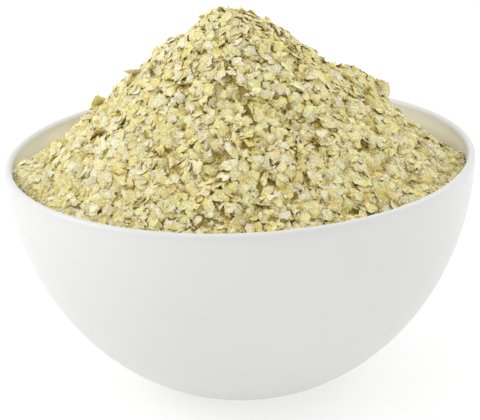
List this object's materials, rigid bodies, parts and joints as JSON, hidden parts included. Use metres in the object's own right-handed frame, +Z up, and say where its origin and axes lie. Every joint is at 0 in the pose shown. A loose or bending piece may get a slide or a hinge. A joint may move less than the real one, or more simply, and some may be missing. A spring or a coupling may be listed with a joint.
{
  "type": "bowl of millet flakes",
  "caption": "Plain white round-bottomed bowl heaped with a cone of loose pale yellow millet flakes that rises well above the rim.",
  "frame": {"origin": "middle of the foot ring, on the surface that the bowl stands on", "axes": "+Z up along the bowl's axis, -Y towards the viewer, +X to the right"},
  "size_m": [0.16, 0.16, 0.1332],
  "materials": {
    "white_glaze": "smooth white glaze with a soft satin gloss",
    "millet_flakes": "dry matt rolled grain, cream to golden yellow"
  },
  "bodies": {
    "root": {"bowl": "white_glaze", "millet_flakes": "millet_flakes"}
  },
  "joints": []
}
